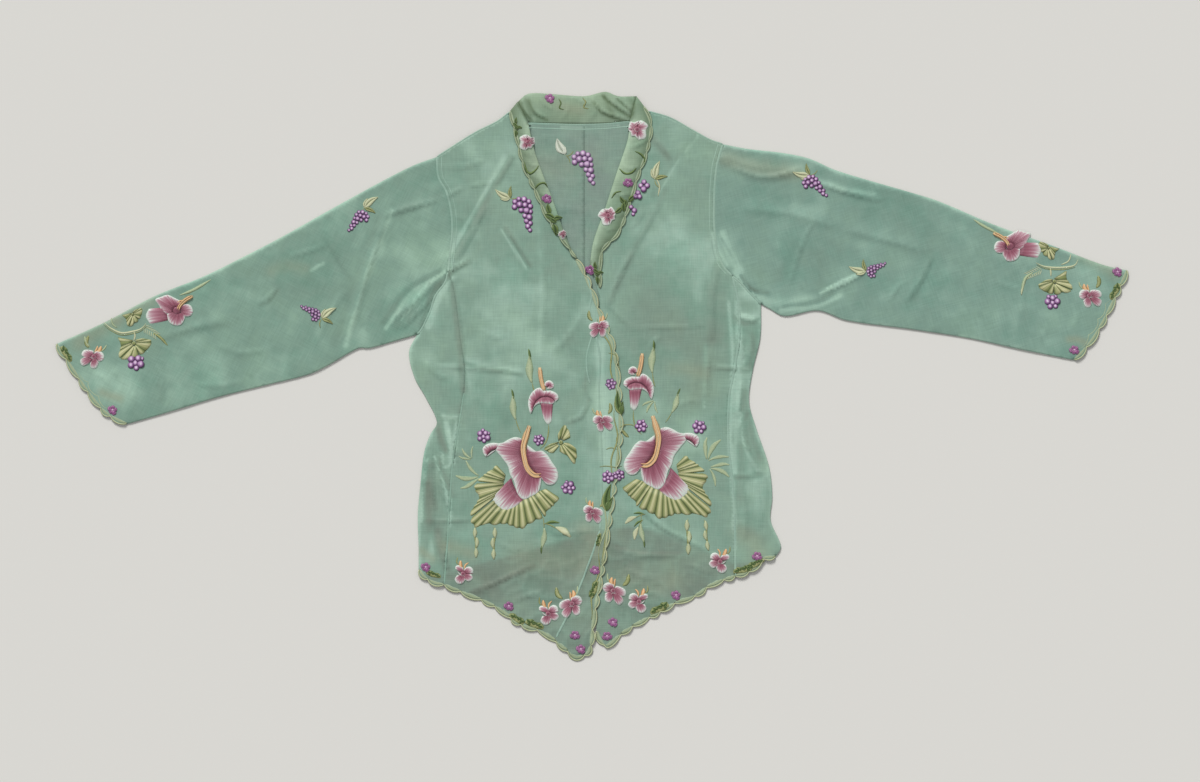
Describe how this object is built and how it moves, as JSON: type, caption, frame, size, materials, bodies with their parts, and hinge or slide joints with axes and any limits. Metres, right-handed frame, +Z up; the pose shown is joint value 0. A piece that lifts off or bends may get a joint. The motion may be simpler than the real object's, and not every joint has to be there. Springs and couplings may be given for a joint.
{
  "type": "nyonya kebaya",
  "caption": "Sheer embroidered long-sleeved blouse laid flat, with a rolled collar band, pointed front hem and scalloped edges; a display garment.",
  "frame": {"origin": "centre of the garment's own box, on the surface that it lies on", "axes": "+X towards the cuff of the wearer's left sleeve, +Y from hem to collar, +Z up from the surface, out of the shown front"},
  "size_m": [1.3397, 0.7114, 0.0077],
  "materials": {
    "voile_front": "sheer soft cotton voile, sea green",
    "voile_back": "sheer soft cotton voile, seen as one layer, grey green",
    "voile_sleeve": "sheer soft cotton voile, sea green",
    "voile_band": "doubled cotton voile, pale yellow green",
    "thread_rose": "rayon embroidery thread, rose shading to white",
    "thread_gold": "rayon embroidery thread, olive gold and cream",
    "thread_violet": "rayon embroidery thread, violet and lilac",
    "thread_leaf": "rayon embroidery thread, leaf green"
  },
  "bodies": {
    "root": {"back_left": "voile_back", "back_right": "voile_back", "front_left": "voile_front", "front_right": "voile_front", "side_left": "voile_front", "side_right": "voile_front", "sleeve_left": "voile_sleeve", "sleeve_right": "voile_sleeve", "collar_back": "voile_band", "lapel_left": "voile_band", "lapel_right": "voile_band"}
  },
  "joints": []
}
